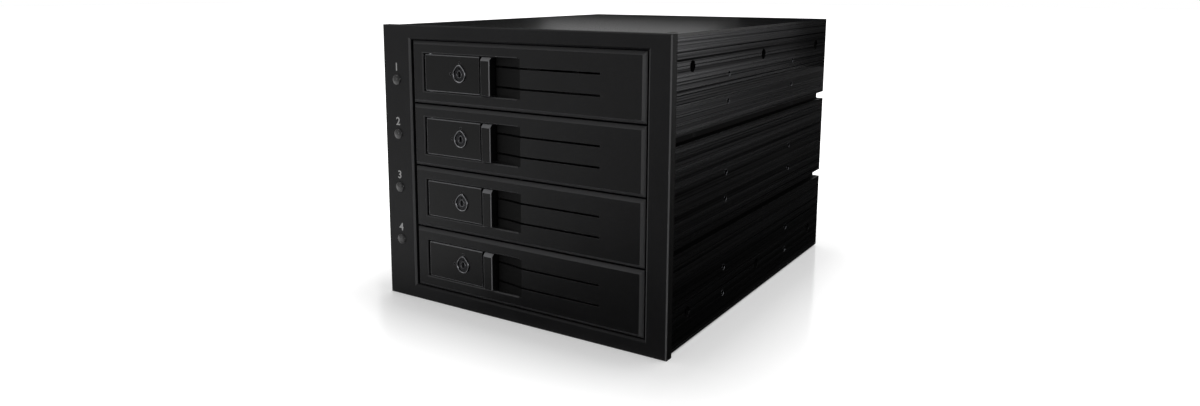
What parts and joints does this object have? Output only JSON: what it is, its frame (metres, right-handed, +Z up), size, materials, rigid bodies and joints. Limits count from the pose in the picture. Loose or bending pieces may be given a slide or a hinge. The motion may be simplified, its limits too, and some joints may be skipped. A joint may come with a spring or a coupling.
{
  "type": "hot swap drive cage",
  "caption": "Black hot swap drive cage with a bezel, slide-out trays with swing levers and key locks, status lamps, a backplane and a rear fan.",
  "frame": {"origin": "centre of the bounding box in X and Y, at its lowest point, the bezel's bottom edge", "axes": "+X to the right as seen from the front, +Y from the bezel to the rear, +Z up"},
  "size_m": [0.1484, 0.1932, 0.1284],
  "materials": {
    "bezel_abs": "moulded, fine spark texture",
    "tray_abs": "moulded, fine spark texture",
    "lever_abs": "moulded, smoother than the tray",
    "brushed_side": "black anodised, brushed lengthwise",
    "coated_sheet": "black powder coat",
    "guide_plastic": "moulded black",
    "circuit_board": "green solder mask",
    "connector_plastic": "moulded black",
    "header_plastic": "natural nylon with tinned pins",
    "capacitor_can": "sleeved can",
    "lens_plastic": "smoked clear",
    "lamp_resin": "clear epoxy",
    "fan_plastic": "moulded black",
    "stator_steel": "laminations with copper windings",
    "bearing_bronze": "sintered bronze",
    "guard_wire": "plated wire",
    "zinc_screws": "zinc plated",
    "black_screws": "black zinc",
    "tray_steel": "black coated sheet",
    "pin_steel": "bright steel",
    "lock_metal": "black nickel zinc casting",
    "cam_steel": "zinc plated steel"
  },
  "bodies": {
    "cage": {"front_bezel": "bezel_abs", "left_side_panel": "brushed_side", "right_side_panel": "brushed_side", "top_cover": "coated_sheet", "bottom_plate": "coated_sheet", "rear_plate": "coated_sheet", "left_guide": "guide_plastic", "right_guide": "guide_plastic", "backplane_board": "circuit_board", "drive_connectors": "connector_plastic", "data_sockets": "connector_plastic", "power_sockets": "connector_plastic", "fan_header": "header_plastic", "board_capacitors": "capacitor_can", "lamp_lenses": "lens_plastic", "lamps": "lamp_resin", "lamp_board": "circuit_board", "fan_housing": "fan_plastic", "fan_stator": "stator_steel", "fan_bearing": "bearing_bronze", "fan_guard": "guard_wire", "bezel_screws": "zinc_screws", "cover_screws": "black_screws", "rear_plate_screws": "black_screws", "board_screws": "zinc_screws", "guide_screws": "black_screws", "fan_screws": "black_screws"},
    "fan": {"fan_rotor": "fan_plastic"},
    "tray_1": {"tray_1_face": "tray_abs", "tray_1_frame": "tray_steel", "tray_1_screws": "zinc_screws", "tray_1_lever_pin": "pin_steel"},
    "lever_1": {"tray_1_lever": "lever_abs", "tray_1_lock_barrel": "lock_metal"},
    "lock_1": {"tray_1_lock_plug": "lock_metal", "tray_1_lock_cam": "cam_steel"},
    "tray_2": {"tray_2_face": "tray_abs", "tray_2_frame": "tray_steel", "tray_2_screws": "zinc_screws", "tray_2_lever_pin": "pin_steel"},
    "lever_2": {"tray_2_lever": "lever_abs", "tray_2_lock_barrel": "lock_metal"},
    "lock_2": {"tray_2_lock_plug": "lock_metal", "tray_2_lock_cam": "cam_steel"},
    "tray_3": {"tray_3_face": "tray_abs", "tray_3_frame": "tray_steel", "tray_3_screws": "zinc_screws", "tray_3_lever_pin": "pin_steel"},
    "lever_3": {"tray_3_lever": "lever_abs", "tray_3_lock_barrel": "lock_metal"},
    "lock_3": {"tray_3_lock_plug": "lock_metal", "tray_3_lock_cam": "cam_steel"},
    "tray_4": {"tray_4_face": "tray_abs", "tray_4_frame": "tray_steel", "tray_4_screws": "zinc_screws", "tray_4_lever_pin": "pin_steel"},
    "lever_4": {"tray_4_lever": "lever_abs", "tray_4_lock_barrel": "lock_metal"},
    "lock_4": {"tray_4_lock_plug": "lock_metal", "tray_4_lock_cam": "cam_steel"}
  },
  "joints": [
    {"name": "tray_1_slide", "type": "slide", "parent": "cage", "child": "tray_1", "axis": [0, -1, 0], "range_m": [0, 0.14]},
    {"name": "lever_1_hinge", "type": "hinge", "parent": "tray_1", "child": "lever_1", "pos_m": [-0.0469, -0.09345, 0.10757], "axis": [0, 0, -1], "range_deg": [0, 75]},
    {"name": "lock_1_turn", "type": "hinge", "parent": "lever_1", "child": "lock_1", "pos_m": [-0.0286, -0.09565, 0.10757], "axis": [0, -1, 0], "range_deg": [0, 90]},
    {"name": "tray_2_slide", "type": "slide", "parent": "cage", "child": "tray_2", "axis": [0, -1, 0], "range_m": [0, 0.14]},
    {"name": "lever_2_hinge", "type": "hinge", "parent": "tray_2", "child": "lever_2", "pos_m": [-0.0469, -0.09345, 0.07872], "axis": [0, 0, -1], "range_deg": [0, 75]},
    {"name": "lock_2_turn", "type": "hinge", "parent": "lever_2", "child": "lock_2", "pos_m": [-0.0286, -0.09565, 0.07872], "axis": [0, -1, 0], "range_deg": [0, 90]},
    {"name": "tray_3_slide", "type": "slide", "parent": "cage", "child": "tray_3", "axis": [0, -1, 0], "range_m": [0, 0.14]},
    {"name": "lever_3_hinge", "type": "hinge", "parent": "tray_3", "child": "lever_3", "pos_m": [-0.0469, -0.09345, 0.04987], "axis": [0, 0, -1], "range_deg": [0, 75]},
    {"name": "lock_3_turn", "type": "hinge", "parent": "lever_3", "child": "lock_3", "pos_m": [-0.0286, -0.09565, 0.04987], "axis": [0, -1, 0], "range_deg": [0, 90]},
    {"name": "tray_4_slide", "type": "slide", "parent": "cage", "child": "tray_4", "axis": [0, -1, 0], "range_m": [0, 0.14]},
    {"name": "lever_4_hinge", "type": "hinge", "parent": "tray_4", "child": "lever_4", "pos_m": [-0.0469, -0.09345, 0.02102], "axis": [0, 0, -1], "range_deg": [0, 75]},
    {"name": "lock_4_turn", "type": "hinge", "parent": "lever_4", "child": "lock_4", "pos_m": [-0.0286, -0.09565, 0.02102], "axis": [0, -1, 0], "range_deg": [0, 90]},
    {"name": "fan_spin", "type": "hinge", "parent": "cage", "child": "fan", "pos_m": [0.018, 0.08, 0.06439], "axis": [0, 1, 0], "continuous": true}
  ]
}
